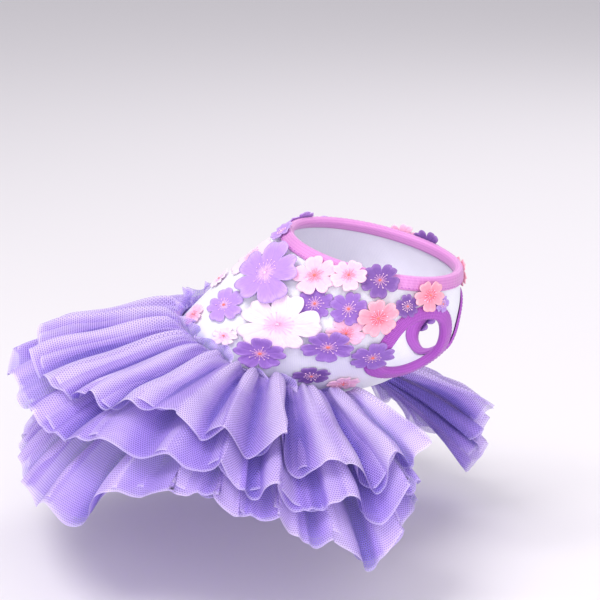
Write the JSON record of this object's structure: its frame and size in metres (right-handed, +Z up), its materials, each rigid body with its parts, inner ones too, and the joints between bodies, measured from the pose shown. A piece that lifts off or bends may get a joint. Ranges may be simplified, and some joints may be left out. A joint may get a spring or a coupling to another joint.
{
  "type": "dog dress",
  "caption": "Sleeveless dress for a small dog: bodice with cut blossoms, bound neck and leg holes, and a gathered tutu skirt of net tiers, in its worn form.",
  "frame": {"origin": "the inside of the bodice at the middle of the back of the neckline, where the dress sits on the withers", "axes": "+X the way the wearer faces, +Y the wearer's left side, +Z up; the body that it is worn on sits, so the back rises about 42 degrees towards +X"},
  "size_m": [0.2614, 0.2878, 0.1669],
  "materials": {
    "fabric": "fine white mesh, matt",
    "binding": "orchid elastic binding, soft sheen",
    "net": "lavender tulle, translucent",
    "lilac": "cut chiffon, matt",
    "purple": "cut chiffon, matt",
    "violet": "cut chiffon, matt",
    "pink": "cut chiffon, matt",
    "pale_pink": "cut chiffon, matt",
    "coral": "cut chiffon, matt"
  },
  "bodies": {
    "root": {"armhole_binding_left": "binding", "armhole_binding_right": "binding", "blossom_left_01": "lilac", "blossom_left_02": "lilac", "blossom_left_03": "pale_pink", "blossom_left_04": "pink", "blossom_left_06": "purple", "blossom_left_07": "purple", "blossom_left_08": "violet", "blossom_left_09": "lilac", "blossom_left_11": "pink", "blossom_left_12": "violet", "blossom_left_13": "purple", "blossom_left_14": "coral", "blossom_left_16": "violet", "blossom_left_17": "coral", "blossom_left_19": "purple", "blossom_left_22": "pink", "blossom_right_01": "lilac", "blossom_right_02": "lilac", "blossom_right_03": "pale_pink", "blossom_right_04": "pink", "blossom_right_05": "purple", "blossom_right_06": "purple", "blossom_right_07": "purple", "blossom_right_08": "violet", "blossom_right_09": "lilac", "blossom_right_10": "pale_pink", "blossom_right_11": "pink", "blossom_right_12": "violet", "blossom_right_13": "purple", "blossom_right_14": "coral", "blossom_right_15": "pink", "blossom_right_16": "violet", "blossom_right_17": "coral", "blossom_right_18": "lilac", "blossom_right_19": "purple", "blossom_right_20": "pink", "blossom_right_21": "pale_pink", "blossom_right_22": "pink", "blossom_right_23": "pale_pink", "bodice": "fabric", "neck_binding": "binding", "skirt_lower_tier": "net", "skirt_middle_tier": "net", "skirt_upper_tier": "net"}
  },
  "joints": []
}
